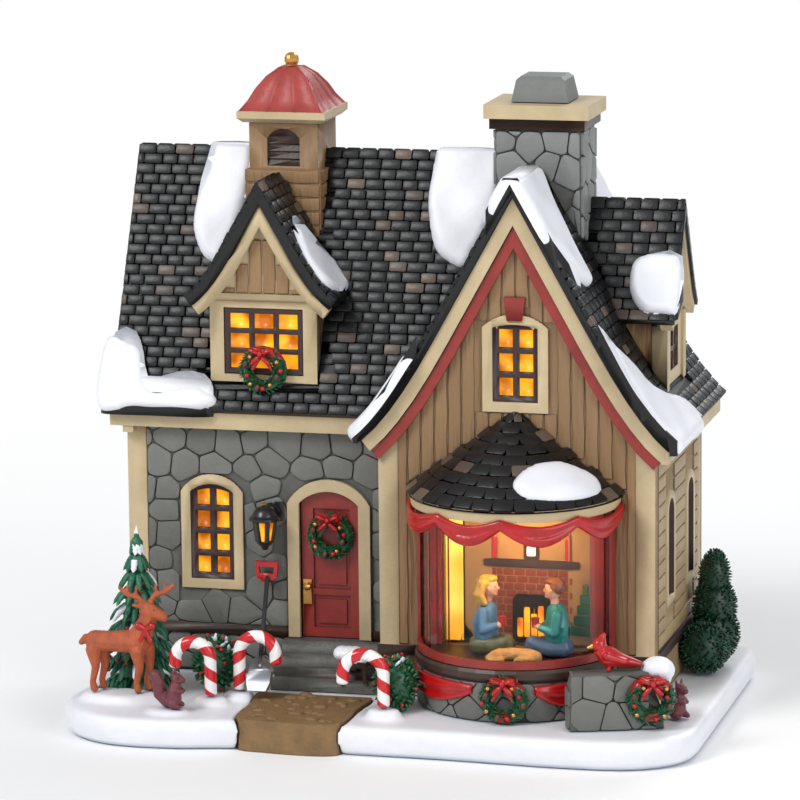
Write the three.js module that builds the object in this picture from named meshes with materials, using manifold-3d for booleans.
// Christmas village house: a small lit house of glazed ceramic on a snowy base, with a bow window,
// two dormers, a cupola and garden figures. Battery box and switch are in the underside.
// Millimetres, +Z up. The front faces -Y. Drawn with x = 0 on the gable wing's centre line,
// y = 0 on its front wall and z = 0 on the table, then moved so that the origin is the plan centre.
import * as THREE from 'three';
import { mergeVertices } from 'three/addons/utils/BufferGeometryUtils.js';
import Module from 'manifold-3d';

const wasm = await Module();
wasm.setup();

// Clearances and levels
const SEAT = 0.3; // gap kept between a piece and what it rests on or fits in
const GROUND = 9.5; // top of the snow
const FOOT = GROUND + SEAT; // what stands on the snow starts here
const FLOOR = 22.1; // door sill and top of the stone footing
const WALL = 3; // wall thickness
const POST_WIDTH = 5.7; // corner posts
const RELIEF = 0.8; // how far posts and frames stand out of a wall
const BAND_HEIGHT = 3.2; // brown moulding on top of the footing
const BAND_RELIEF = 1.2;

// Plan of the house
const GABLE_HALF = 43.4; // half width of the gable wing
const HOUSE_DEPTH = 77.85; // gable wing, front wall to rear wall
const WING_LEFT = -129.5; // outside of the left end wall
const WING_FRONT = 14.9; // left wing's front wall, behind the gable wall

// Roofs: bell-cast lines that run straight from the ridge and flare out to the eave
// (half is half the span in plan, bendAt is where the straight slope and the eave slope would meet)
const MAIN_ROOF = {
  ridge: 174.6, slope: 2.06, flareAt: 30, bendAt: 36.964, half: 38.6, eaveSlope: 1.5,
  thick: 2.4, butt: 0.6, courses: 26,
};
const GABLE_ROOF = {
  ridge: 172.9, slope: 1.79, flareAt: 27.5, bendAt: 40.808, half: 50, eaveSlope: 0.8,
  thick: 2.3, butt: 0.6, courses: 28,
};
const FRONT_DORMER_ROOF = {
  ridge: 168.7, slope: 1.75, flareAt: 13.4, bendAt: 18.7, half: 24.4, eaveSlope: 0.75,
  thick: 3.3, butt: 0.5, courses: 12,
};
const SIDE_DORMER_ROOF = {
  ridge: 161, slope: 1.85, flareAt: 13, bendAt: 16.867, half: 20.5, eaveSlope: 1.1,
  thick: 2, butt: 0.5, courses: 11,
};
const MAIN_RIDGE_Y = (WING_FRONT + HOUSE_DEPTH) / 2;
const MAIN_ROOF_LEFT = -133.9;
const RAKE_FRONT = -4.5; // gable roof's front edge
const RAKE_BACK = HOUSE_DEPTH + 7.6;
const BOARD_WIDTH = 4.1; // beige bargeboard
const TRIM_WIDTH = 3.2; // red board inside it
const BOARD_FRONT = -3.5;
const TRIM_FRONT = -2.1;
const FLARE_STEPS = 5;

// Chimney, on the gable ridge
const STACK = { half: 13.5, front: 33, back: 54, top: 183.6 };
const CHIMNEY_BAND = { grow: 1.7, height: 3.4 };
const CHIMNEY_SLAB = { grow: 3.2, height: 4.4 };
const POT = { half: 9.1, topHalf: 6.6, depthHalf: 8, topDepthHalf: 6.4, height: 7.9 };

// Cupola, on the main ridge
const CUPOLA = { x: -82.9, half: 11.2, skirtHalf: 12.3, skirtTop: 168.8, top: 183.6 };
const CORNICE = { half: 14.4, height: 3.6 };
const CUPOLA_ROOF_LINE = [[13.6, 0], [11, 3.4], [9, 7], [6.2, 10.6], [2.9, 13.2]];
const SEAM = 0.6; // half width of the ribs on its roof
const FINIAL = { radius: 2.4, neck: 2.1 };
const LOUVRE = { half: 5.3, bottom: 170, shoulder: 178.6, rise: 3.3, slats: 5 };

// Dormers
const DORMER = { x: -83.9, half: 17.4, face: 12, front: 8, bottom: 103.4, wall: 2.4 };
const DORMER_WINDOW = { half: 12.9, bottom: 107, top: 128.2 };
const SIDE_DORMER = { half: 15, face: 40.6, front: 44.4, bottom: 101.4, wall: 2.4 };
const SIDE_DORMER_WINDOW = { half: 6.2, bottom: 107.5, top: 120.6 };

// Windows and door
const FRONT_WINDOW = { x: -102.3, half: 10.2, bottom: 36.9, shoulder: 68.2, rise: 5.7, border: 3.1 };
const GABLE_WINDOW = { x: 0, half: 10.35, bottom: 100.6, shoulder: 127, rise: 4.2, border: 3.2 };
const SIDE_WINDOW = { ys: [23.5, 56], half: 7, bottom: 36.8, shoulder: 66.4, rise: 6.6, border: 2.6 };
const MUNTIN = 1.5;
const FILM = 0.6; // amber film left behind the panes
const PANE_DEPTH = 2.2;
const DOOR = { x: -63.9, half: 13.5, shoulder: 65.8, rise: 8, border: 3.8, leaf: 2 };
const KEYSTONE = { low: 2.4, high: 3.4, tuck: 1.9, height: 7.2 };

// Bow window
const BAY_Y = 1.2; // centre of its circles
const BAY_RADIUS = 31.1;
const SILL_RADIUS = 32.3;
const SILL_TOP = 26;
const BAY_HEAD = 72; // top of the glass
const BAY_OPENING_HALF = 22.8;
const BAY_FRAME = { outer: 31.4, inner: 29.9, rail: 2.4 };
const PANE = { outer: 29.6, thick: 1 };
const LINTEL = { radius: 32.2, top: 76 };
const BAY_ROOF = { radius: 33.6, apex: 99.8, courses: 9, butt: 0.7, thick: 2 };
const SWAG_TIES = [-88, -34, 4, 47, 88]; // degrees from the front
const VALANCE = { radius: 32.5, thick: 1.3, tieTop: 73.5, tieLow: 71, sagTop: 71, sagLow: 65.2 };

// Base and garden
const BASE_LEFT = -140;
const BASE_RIGHT = 62;
const BASE_FRONT = -49;
const BASE_BACK = 86;
const BASE_EDGE = 2.5; // rounding of the snow's upper edge
const BASE_TUCK = { rise: 5.5, inset: 2.8 }; // its sides draw in towards the table
const PATH = { left: -79.7, right: -45.4, front: -45.6, back: -8 };
const DRIFTS = {
  reindeer: { x: -120.7, y: -26.6, long: 14, deep: 7, height: 2.7 },
  squirrel: { x: -102.4, y: -38.4, long: 7, deep: 5.4, height: 1.4 },
  left_cane: { x: -92, y: -25.5, long: 6, deep: 5, height: 2.2 },
  middle_cane: { x: -85, y: -17.3, long: 5.4, deep: 4.6, height: 2.4 },
  right_cane: { x: -35.1, y: -31.2, long: 6, deep: 4.4, height: 2.8 },
};
const STEPS = { left: -78.5, right: -43.9, count: 4, run: 4.8, landing: 9.2 };

// Battery box
const CELL_RADIUS = 7.1;
const CELL_LENGTH = 49.5;
const BOX_WALL = 1.4;
const BOX_X = -88;
const BOX_Y = 46;
const BOX_BOTTOM = 0.6; // set up from the table
const DOOR_THICK = 1.3;
const HINGE_RADIUS = 0.65;
const HINGE_PLAY = 0.08;
const FLANGE = 3;
const SWITCH = { x: 9, y: 14, height: 8, travel: 4, knob: 3.4 };

const FAR = 300; // beyond every part of the house
const PLAN_X = (BASE_LEFT + BASE_RIGHT) / 2;
const PLAN_Y = (BASE_FRONT + BASE_BACK) / 2;

// Solids

// A closed geometry as a solid for joining and cutting.
function solid(geometry) {
  const bare = geometry.clone();
  bare.deleteAttribute('normal');
  bare.deleteAttribute('uv');
  const merged = mergeVertices(bare, 1e-4);
  const index = merged.index.array;
  const triangles = [];
  for (let i = 0; i < index.length; i += 3) {
    const [a, b, c] = [index[i], index[i + 1], index[i + 2]];
    if (a !== b && b !== c && c !== a) triangles.push(a, b, c);
  }
  return new wasm.Manifold(new wasm.Mesh({
    numProp: 3,
    vertProperties: new Float32Array(merged.attributes.position.array),
    triVerts: new Uint32Array(triangles),
  }));
}

function join(first, ...others) {
  return others.flat().reduce((whole, piece) => whole.add(piece), first);
}

function cut(first, ...others) {
  return others.flat().reduce((whole, piece) => whole.subtract(piece), first);
}

function block(x0, x1, y0, y1, z0, z1) {
  const geometry = new THREE.BoxGeometry(x1 - x0, y1 - y0, z1 - z0);
  return solid(geometry.translate((x0 + x1) / 2, (y0 + y1) / 2, (z0 + z1) / 2));
}

// A block centred on the battery box.
function aroundBox(halfX, halfY, z0, z1) {
  return block(BOX_X - halfX, BOX_X + halfX, BOX_Y - halfY, BOX_Y + halfY, z0, z1);
}

// A flat outline pushed along an axis. It is drawn in the other two, in the order X, Y, Z.
function prism(axis, shape, from, to) {
  const settings = { depth: to - from, bevelEnabled: false, curveSegments: 8 };
  const geometry = new THREE.ExtrudeGeometry(shape, settings);
  if (axis === 'y') geometry.rotateX(Math.PI / 2).translate(0, to, 0);
  if (axis === 'z') geometry.translate(0, 0, from);
  if (axis === 'x') {
    const turn = new THREE.Matrix4().set(0, 0, 1, from, 1, 0, 0, 0, 0, 1, 0, 0, 0, 0, 0, 1);
    geometry.applyMatrix4(turn);
  }
  return solid(geometry);
}

function polygon(points) {
  return new THREE.Shape(points.map(([x, y]) => new THREE.Vector2(x, y)));
}

// An outline with straight sides and corners rounded by up to the given reach.
function softPolygon(points, reach) {
  const corners = points.map(([x, y]) => new THREE.Vector2(x, y));
  const shape = new THREE.Shape();
  corners.forEach((corner, i) => {
    const before = corners.at(i - 1);
    const after = corners[(i + 1) % corners.length];
    const inward = before.clone().sub(corner);
    const outward = after.clone().sub(corner);
    const from = corner.clone().add(inward.setLength(Math.min(reach, inward.length() * 0.45)));
    const to = corner.clone().add(outward.setLength(Math.min(reach, outward.length() * 0.45)));
    if (i === 0) shape.moveTo(from.x, from.y);
    else shape.lineTo(from.x, from.y);
    shape.quadraticCurveTo(corner.x, corner.y, to.x, to.y);
  });
  return shape;
}

// A smooth closed outline through a few points.
function rounded(points, samples) {
  const corners = points.map(([x, y]) => new THREE.Vector3(x, y, 0));
  const curve = new THREE.CatmullRomCurve3(corners, true, 'centripetal');
  return new THREE.Shape(curve.getPoints(samples).slice(0, -1).map((p) => new THREE.Vector2(p.x, p.y)));
}

// Round-headed opening: straight sides to the shoulder, then one arc that rises above it.
function arch(x, half, bottom, shoulder, rise) {
  const radius = (half * half + rise * rise) / (2 * rise);
  const start = Math.asin(half / radius);
  const shape = new THREE.Shape();
  shape.moveTo(x - half, bottom).lineTo(x + half, bottom).lineTo(x + half, shoulder);
  shape.absarc(x, shoulder + rise - radius, radius, Math.PI / 2 - start, Math.PI / 2 + start, false);
  return shape;
}

function lathe(profile, segments) {
  const points = profile.map(([r, z]) => new THREE.Vector2(r, z));
  return solid(new THREE.LatheGeometry(points, segments).rotateX(Math.PI / 2));
}

function ball(radius, at, scale = [1, 1, 1], sides = 10) {
  const geometry = new THREE.SphereGeometry(radius, sides, Math.round(sides * 0.6));
  return solid(geometry.rotateX(Math.PI / 2).scale(...scale).translate(...at));
}

function moved(piece, x, y, z) {
  return piece.translate([x, y, z]);
}

// Rings of equal count joined into one closed skin, with flat ends.
function loft(rings) {
  const count = rings[0].length;
  const index = [];
  for (let r = 0; r + 1 < rings.length; r += 1) {
    for (let i = 0; i < count; i += 1) {
      const a = r * count + i;
      const b = r * count + ((i + 1) % count);
      index.push(a, b, b + count, a, b + count, a + count);
    }
  }
  const last = (rings.length - 1) * count;
  for (let i = 1; i + 1 < count; i += 1) {
    index.push(0, i + 1, i, last, last + i, last + i + 1);
  }
  const geometry = new THREE.BufferGeometry();
  geometry.setAttribute('position', new THREE.Float32BufferAttribute(rings.flat(2), 3));
  geometry.setIndex(index);
  const made = solid(geometry);
  return made.volume() > 0 ? made : loft([...rings].reverse());
}

// A round limb of changing thickness with rounded ends, through points of [x, y, z, radius].
function limb(points, sides = 7) {
  const spine = points.map(([x, y, z]) => new THREE.Vector3(x, y, z));
  const side = new THREE.Vector3(0, 1, 0);
  const ring = (i, radius, along) => {
    const way = spine[Math.min(i + 1, spine.length - 1)].clone().sub(spine[Math.max(i - 1, 0)]).normalize();
    const first = new THREE.Vector3().crossVectors(side, way);
    if (first.length() < 0.2) first.set(1, 0, 0);
    first.normalize();
    const second = new THREE.Vector3().crossVectors(way, first);
    return Array.from({ length: sides }, (unused, k) => {
      const turn = (k / sides) * Math.PI * 2;
      return spine[i].clone().addScaledVector(way, along).addScaledVector(first, radius * Math.cos(turn))
        .addScaledVector(second, radius * Math.sin(turn)).toArray();
    });
  };
  const last = points.length - 1;
  const rings = points.map((point, i) => ring(i, point[3], 0));
  const startCap = ring(0, points[0][3] * 0.55, -points[0][3] * 0.8);
  const endCap = ring(last, points[last][3] * 0.55, points[last][3] * 0.8);
  return loft([startCap, ...rings, endCap]);
}

// A leafy or mossy lump: a sphere whose surface rises and falls.
function lump(radius, at, scale, roughness) {
  const geometry = new THREE.IcosahedronGeometry(radius, 3);
  const spots = geometry.attributes.position;
  const point = new THREE.Vector3();
  for (let i = 0; i < spots.count; i += 1) {
    point.fromBufferAttribute(spots, i).divideScalar(radius);
    const wave = Math.sin(7 * point.x + 2) * Math.sin(8 * point.y + 1) * Math.sin(7 * point.z);
    point.multiplyScalar(radius * (1 + roughness * wave));
    spots.setXYZ(i, point.x, point.y, point.z);
  }
  return solid(geometry.scale(...scale).translate(...at));
}

// Roof lines

// Height of a roof's eave, from its ridge, its bend and its two slopes.
function eaveOf(roof) {
  return roof.ridge - roof.slope * roof.bendAt - roof.eaveSlope * (roof.half - roof.bendAt);
}

// Half of a roof line from ridge to eave, set in by a depth measured square to the roof.
function rakeLine(roof, inset) {
  const start = new THREE.Vector2(roof.flareAt, roof.ridge - roof.slope * roof.flareAt);
  const bend = new THREE.Vector2(roof.bendAt, start.y - roof.slope * (roof.bendAt - start.x));
  const flare = new THREE.QuadraticBezierCurve(start, bend, new THREE.Vector2(roof.half, eaveOf(roof)));
  const line = [new THREE.Vector2(0, roof.ridge - inset * Math.hypot(1, roof.slope))];
  for (let i = 0; i <= FLARE_STEPS; i += 1) {
    const way = flare.getTangent(i / FLARE_STEPS);
    const point = flare.getPoint(i / FLARE_STEPS);
    line.push(new THREE.Vector2(point.x + way.y * inset, point.y - way.x * inset));
  }
  return line;
}

// The same half line broken into shingle courses, each standing proud at its lower edge.
function coursedLine(roof) {
  const line = rakeLine(roof, roof.butt);
  const lengths = line.slice(1).map((p, i) => p.distanceTo(line[i]));
  const total = lengths.reduce((sum, length) => sum + length, 0);
  const at = (distance) => {
    let i = 0;
    let left = distance;
    while (i < lengths.length - 1 && left > lengths[i]) {
      left -= lengths[i];
      i += 1;
    }
    const way = line[i + 1].clone().sub(line[i]).normalize();
    return { point: line[i].clone().addScaledVector(way, left), out: new THREE.Vector2(-way.y, way.x) };
  };
  const points = [line[0]];
  for (let i = 1; i <= roof.courses; i += 1) {
    const { point, out } = at((total * i) / roof.courses);
    points.push(point.clone().addScaledVector(out, roof.butt));
    if (i < roof.courses) points.push(point);
  }
  return points;
}

function mirrored(half) {
  const left = half.slice(1).reverse().map((p) => new THREE.Vector2(-p.x, p.y));
  return [...left, ...half];
}

// Everything under a roof line, down to the table, moved so that its middle is at centre.
function underLine(roof, inset, centre) {
  const line = mirrored(rakeLine(roof, inset));
  const points = [new THREE.Vector2(line[0].x, 0), ...line, new THREE.Vector2(line.at(-1).x, 0)];
  return new THREE.Shape(points.reverse().map((p) => new THREE.Vector2(p.x + centre, p.y)));
}

function roofShell(roof, axis, centre, from, to) {
  const skin = mirrored(coursedLine(roof)).map((p) => new THREE.Vector2(p.x + centre, p.y));
  const soffit = mirrored(rakeLine(roof, roof.thick)).map((p) => new THREE.Vector2(p.x + centre, p.y));
  return prism(axis, new THREE.Shape([...soffit, ...skin.reverse()]), from, to);
}

// A board that follows a roof line between two depths.
function rakeBoard(roof, axis, centre, outer, inner, from, to) {
  const top = mirrored(rakeLine(roof, outer)).map((p) => new THREE.Vector2(p.x + centre, p.y));
  const low = mirrored(rakeLine(roof, inner)).map((p) => new THREE.Vector2(p.x + centre, p.y));
  return prism(axis, new THREE.Shape([...low, ...top.reverse()]), from, to);
}

// Snow lying on a roof: the outline is in plan, the top and bottom follow the roof line.
function snow(roof, axis, centre, outline, depth) {
  const layer = prism(axis, underLine(roof, -depth, centre), -FAR, FAR);
  const bare = prism(axis, underLine(roof, roof.thick / 2, centre), -FAR, FAR);
  const crest = roof.ridge + depth / 2;
  const patch = prism('z', rounded(outline, outline.length * 2), eaveOf(roof) - depth, crest);
  return patch.intersect(layer).subtract(bare);
}

// Finishes
const BEIGE = 0xc2b08c;
const PLANK = 0x8d7150;
const STONE = 0x6d6e6a;
const SHINGLE = 0x202023;
const BROWN = 0x3a2821;
const WHITE = 0xf3f4f7;
const BARN_RED = 0x8e2f29;
const BRIGHT_RED = 0xc81a20;
const GREEN = 0x16553a;

const parts = new THREE.Group();
parts.position.set(-PLAN_X, -PLAN_Y, 0);

// Puts a finished solid in the model under its name.
function add(name, piece, color, roughness = 0.55, metalness = 0) {
  const { vertProperties, triVerts } = piece.getMesh();
  const geometry = new THREE.BufferGeometry();
  geometry.setAttribute('position', new THREE.BufferAttribute(new Float32Array(vertProperties), 3));
  geometry.setIndex(new THREE.BufferAttribute(new Uint32Array(triVerts), 1));
  geometry.computeVertexNormals();
  const mesh = new THREE.Mesh(geometry, new THREE.MeshStandardMaterial({ color, roughness, metalness }));
  mesh.name = name;
  parts.add(mesh);
  return mesh;
}

const underGableSoffit = prism('y', underLine(GABLE_ROOF, GABLE_ROOF.thick + SEAT, 0), -FAR, FAR);
const underMainSoffit = prism('x', underLine(MAIN_ROOF, MAIN_ROOF.thick + SEAT, MAIN_RIDGE_Y), -FAR, FAR);
const underGable = prism('y', underLine(GABLE_ROOF, -SEAT, 0), RAKE_FRONT, FAR);
const underMain = prism('x', underLine(MAIN_ROOF, -SEAT, MAIN_RIDGE_Y), MAIN_ROOF_LEFT, 0);

// Evergreen wreath with its bow, facing -Y
function wreath(radius, tube) {
  const ring = new THREE.TorusGeometry(radius, tube, 6, 16);
  const spots = ring.attributes.position;
  for (let i = 0; i < spots.count; i += 1) {
    const turn = Math.atan2(spots.getY(i), spots.getX(i));
    spots.setZ(i, spots.getZ(i) * (1 + 0.14 * Math.cos(8 * turn)));
  }
  const body = solid(ring.rotateX(Math.PI / 2));
  const top = radius;
  const loops = [-1, 1].map((side) => ball(1.8, [side * 2, -tube * 0.8, top + 0.4], [1.25, 0.6, 0.9], 6));
  const tails = [-1, 1].map((side) => limb([[0, -tube, top, 0.8], [side * 3.2, -tube, top - 5.2, 0.7]], 5));
  return join(body, loops, tails);
}

const WREATH = { radius: 5.5, tube: 2.1 };
const wreathBack = WREATH.tube * 0.55; // how far its centre stands from the face that carries it

// Base, path and steps
const boxHalfX = CELL_LENGTH / 2 + 3 + BOX_WALL;
const boxHalfY = 2 * CELL_RADIUS + 1 + BOX_WALL;
const switchX = BOX_X + boxHalfX + SWITCH.x / 2;

// A low flat-topped drift of snow, wider than deep
function drift({ x, y, long, deep, height }) {
  const profile = [[0, -0.6], [1, -0.6], [1, 0], [0.93, 0.55], [0.82, 0.88], [0.7, 1], [0, 1]];
  const geometry = new THREE.LatheGeometry(profile.map(([r, z]) => new THREE.Vector2(r, z)), 16);
  return solid(geometry.rotateX(Math.PI / 2).scale(long, deep, height).translate(x, y, GROUND));
}

function baseSolid() {
  const outline = softPolygon([
    [BASE_LEFT, BASE_BACK], [BASE_LEFT, 10], [BASE_LEFT + 3, -6], [BASE_LEFT, -26], [BASE_LEFT + 6, -40],
    [-120, BASE_FRONT], [-98, BASE_FRONT], [PATH.left, BASE_FRONT + 5], [PATH.right, BASE_FRONT + 5],
    [-16, BASE_FRONT + 5], [22, BASE_FRONT + 2.5], [46, BASE_FRONT + 3.5],
    [BASE_RIGHT, -33], [BASE_RIGHT, BASE_BACK],
  ], 11);
  const bulge = (rise, inset, z) => {
    const shape = { depth: 40, steps: 1, bevelThickness: rise, bevelSize: inset, bevelOffset: -inset };
    const geometry = new THREE.ExtrudeGeometry(outline, { ...shape, bevelSegments: 3, curveSegments: 3 });
    return solid(geometry.translate(0, 0, z));
  };
  const tucked = bulge(BASE_TUCK.rise, BASE_TUCK.inset, BASE_TUCK.rise);
  const whole = tucked.intersect(bulge(BASE_EDGE, BASE_EDGE, GROUND - 40 - BASE_EDGE));
  const fit = SEAT;
  return cut(
    join(whole, Object.values(DRIFTS).map(drift)),
    aroundBox(boxHalfX + fit, boxHalfY + fit, -1, FLOOR),
    block(switchX - SWITCH.x, switchX + SWITCH.x / 2 + fit,
      BOX_Y - SWITCH.y / 2 - fit, BOX_Y + SWITCH.y / 2 + fit, -1, FLOOR),
    pathOutline(SEAT, -1, FLOOR),
  );
}

// The path slab bulges over the base's front edge and stands on the table itself.
function pathOutline(grow, from, to) {
  const outline = rounded([
    [PATH.left - grow, PATH.back], [PATH.left - grow, -24],
    [PATH.left - grow + 1, PATH.front + 3 - 2 * grow], [-70, PATH.front + 1 - 2 * grow],
    [-58, PATH.front - 2 * grow], [-49, PATH.front + 1 - 2 * grow],
    [PATH.right + grow - 1, PATH.front + 3 - 2 * grow], [PATH.right + grow, -24],
    [PATH.right + grow, PATH.back],
  ], 30);
  const clip = block(-FAR, FAR, -FAR, PATH.back - 2 + grow, -FAR, FAR);
  return prism('z', outline, from, to).intersect(clip);
}

function stepsSolid() {
  const rise = (FLOOR - FOOT) / STEPS.count;
  const back = WING_FRONT - BAND_RELIEF - SEAT;
  const treads = [];
  for (let i = 0; i < STEPS.count; i += 1) {
    const front = STEPS.landing - (STEPS.count - 1 - i) * STEPS.run;
    treads.push(block(STEPS.left, STEPS.right, front, back, FOOT, FOOT + rise * (i + 1)));
  }
  return join(...treads);
}

add('base_plate', baseSolid(), WHITE, 0.5);
add('path_slab', pathOutline(0, 0, GROUND + 0.6), 0x7d6242, 0.7);
// Snow-capped stool on the second step
function stoolSolid() {
  const seat = lathe([[0, 0], [4.6, 0], [4.9, 1], [4.6, 2], [0, 2]], 10);
  const cap = ball(5.2, [0, 0, 2.4], [1.1, 1, 0.34], 10);
  const legs = [[-3.2, -2.4], [3.2, -2.4], [0, 3]].map(([x, y]) => limb([[x, y, 0.8, 0.9],
    [x * 1.25, y * 1.25, -5, 0.8]], 5));
  return join(seat, cap, legs);
}
const stepRise = (FLOOR - FOOT) / STEPS.count;
const secondTread = FOOT + stepRise;
const stool = moved(stoolSolid(), -51.4, STEPS.landing - 2.5 * STEPS.run, secondTread + 5.4);
add('door_steps', join(stepsSolid(), stool), 0x55554f, 0.7);

// Walls

function windowOpening(opening, border, grow) {
  return arch(opening.x, opening.half - border + grow, opening.bottom + border - grow, opening.shoulder,
    opening.rise - border + grow);
}

function leftFrontWall() {
  const back = WING_FRONT + WALL;
  const right = -GABLE_HALF - SEAT;
  const whole = block(WING_LEFT, right, WING_FRONT, back, FOOT, MAIN_ROOF.ridge).intersect(underMainSoffit);
  const post = block(WING_LEFT - RELIEF / 2, WING_LEFT + POST_WIDTH, WING_FRONT - RELIEF, back, FOOT, 89);
  const band = block(WING_LEFT + POST_WIDTH, right, WING_FRONT - BAND_RELIEF, back,
    FLOOR, FLOOR + BAND_HEIGHT);
  const { x, half, border, shoulder, rise } = DOOR;
  const doorway = arch(x, half - border + SEAT, FLOOR, shoulder, rise - border + SEAT);
  const doorSurround = block(x - half - SEAT, x + half + SEAT, 0, WING_FRONT, FLOOR, FLOOR + 9);
  const light = windowOpening(FRONT_WINDOW, FRONT_WINDOW.border, SEAT);
  const openings = [light, doorway].map((shape) => prism('y', shape, 0, back + 1));
  return cut(join(whole, post, band), openings, doorSurround);
}

function endWall() {
  const from = WING_FRONT + WALL + SEAT;
  const to = HOUSE_DEPTH - WALL - SEAT;
  return block(WING_LEFT, WING_LEFT + WALL, from, to, FOOT, MAIN_ROOF.ridge).intersect(underMainSoffit);
}

function rearWall() {
  const front = HOUSE_DEPTH - WALL;
  const whole = block(WING_LEFT, GABLE_HALF, front, HOUSE_DEPTH, FOOT, MAIN_ROOF.ridge);
  const wing = underMainSoffit.intersect(block(-FAR, 0, -FAR, FAR, 0, FAR));
  const post = (x) => block(x, x + POST_WIDTH, front, HOUSE_DEPTH + RELIEF, FOOT, 89);
  const posts = [post(WING_LEFT), post(GABLE_HALF - POST_WIDTH)];
  return join(whole.intersect(join(underGableSoffit, wing)), posts);
}

function gableFrontWall() {
  const whole = block(-GABLE_HALF, GABLE_HALF, 0, WALL, FOOT, GABLE_ROOF.ridge);
  const sideReturn = block(-GABLE_HALF, -GABLE_HALF + WALL, 0, WING_FRONT - SEAT, FOOT, GABLE_ROOF.ridge);
  const postTop = 92;
  const posts = [-1, 1].map((side) => {
    const outer = side * (GABLE_HALF + RELIEF / 2);
    const inner = side * (GABLE_HALF - POST_WIDTH);
    return block(Math.min(outer, inner), Math.max(outer, inner), -RELIEF, WALL, FOOT, postTop);
  });
  const band = block(-GABLE_HALF - BAND_RELIEF, GABLE_HALF, -BAND_RELIEF, WALL, FLOOR, FLOOR + BAND_HEIGHT);
  const bay = block(-BAY_OPENING_HALF, BAY_OPENING_HALF, -FAR, FAR, SILL_TOP, BAY_HEAD);
  const bayFoot = block(-SILL_RADIUS - SEAT, SILL_RADIUS + SEAT, -BAND_RELIEF, 0, 0, SILL_TOP + SEAT);
  const light = prism('y', windowOpening(GABLE_WINDOW, GABLE_WINDOW.border, SEAT), -5, WALL + 1);
  return cut(join(whole, sideReturn, posts, band).intersect(underGableSoffit), bay, bayFoot, light);
}

function sideWindowRelief(y) {
  const { half, bottom, shoulder, rise, border } = SIDE_WINDOW;
  const frame = prism('x', arch(y, half, bottom, shoulder, rise), GABLE_HALF - 0.5, GABLE_HALF + RELIEF);
  const well = arch(y, half - border, bottom + border, shoulder, rise - border);
  const top = shoulder + rise - border;
  const bar = block(GABLE_HALF - PANE_DEPTH, GABLE_HALF, y - MUNTIN / 2, y + MUNTIN / 2, bottom, top);
  return { frame, well: prism('x', well, GABLE_HALF - PANE_DEPTH, GABLE_HALF + 2), bar };
}

function rightSideWall() {
  const from = WALL + SEAT;
  const to = HOUSE_DEPTH - WALL - SEAT;
  const inner = GABLE_HALF - WALL;
  const whole = block(inner, GABLE_HALF, from, to, FOOT, GABLE_ROOF.ridge);
  const band = block(inner, GABLE_HALF + BAND_RELIEF, from, to, FLOOR, FLOOR + BAND_HEIGHT);
  const post = block(inner, GABLE_HALF + RELIEF / 2, to - POST_WIDTH, to, FOOT, 92);
  const lights = SIDE_WINDOW.ys.map(sideWindowRelief);
  const framed = join(whole, band, post, lights.map((light) => light.frame));
  const opened = cut(framed, lights.map((light) => light.well));
  return join(opened, lights.map((light) => light.bar)).intersect(underGableSoffit);
}

add('left_front_wall', leftFrontWall(), STONE, 0.6);
add('left_end_wall', endWall(), STONE, 0.6);
add('rear_wall', rearWall(), PLANK, 0.6);
add('gable_front_wall', gableFrontWall(), PLANK, 0.6);
add('right_side_wall', rightSideWall(), PLANK, 0.6);

// Windows: a raised frame, a plug in the wall, and pockets that leave an amber film at the back

function panePockets(opening, columns, rows, front) {
  const left = opening.x - opening.half + opening.border;
  const width = 2 * (opening.half - opening.border);
  const low = opening.bottom + opening.border;
  const height = opening.shoulder + opening.rise - opening.border - low;
  const pitchX = (width - MUNTIN) / columns;
  const pitchZ = (height - MUNTIN) / rows;
  const pockets = [];
  for (let i = 0; i < columns; i += 1) {
    for (let j = 0; j < rows; j += 1) {
      const x = left + MUNTIN + i * pitchX;
      const z = low + MUNTIN + j * pitchZ;
      pockets.push(block(x, x + pitchX - MUNTIN, front - 1, front + PANE_DEPTH, z, z + pitchZ - MUNTIN));
    }
  }
  return join(...pockets);
}

function archedWindow(opening, columns, rows, wallFace) {
  const { x, half, bottom, shoulder, rise, border } = opening;
  const frame = cut(
    prism('y', arch(x, half, bottom, shoulder, rise), wallFace - RELIEF - SEAT, wallFace - SEAT),
    prism('y', windowOpening(opening, border, 0), wallFace - RELIEF - 1, wallFace),
  );
  const plug = prism('y', windowOpening(opening, border, 0),
    wallFace - SEAT - 0.2, wallFace + PANE_DEPTH + FILM);
  const lip = prism('y', windowOpening(opening, border, 0.4), wallFace - SEAT - 0.4, wallFace - SEAT);
  const clear = prism('y', windowOpening(opening, border + MUNTIN, 0), wallFace - 5, wallFace + 5);
  const pockets = panePockets(opening, columns, rows, wallFace).intersect(clear);
  return cut(join(frame, lip, plug), pockets);
}

const keyBottom = GABLE_WINDOW.shoulder + GABLE_WINDOW.rise - KEYSTONE.tuck;
const keyTop = keyBottom + KEYSTONE.height;
const keystone = prism('y', polygon([[-KEYSTONE.low, keyBottom], [KEYSTONE.low, keyBottom],
  [KEYSTONE.high, keyTop], [-KEYSTONE.high, keyTop]]), -RELIEF - SEAT - 0.8, -SEAT);
add('front_window', archedWindow(FRONT_WINDOW, 2, 4, WING_FRONT), 0xc9a05a, 0.45);
add('gable_window', join(archedWindow(GABLE_WINDOW, 2, 3, 0), keystone), 0xc9a05a, 0.45);

// Door

function doorFrame() {
  const { x, half, shoulder, rise, border } = DOOR;
  const outer = arch(x, half, FLOOR + SEAT, shoulder, rise);
  const inner = arch(x, half - border, FLOOR - 1, shoulder, rise - border);
  const surround = prism('y', outer, WING_FRONT - RELIEF - SEAT - 0.6, WING_FRONT - SEAT);
  return cut(surround, prism('y', inner, 0, FAR));
}

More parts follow.
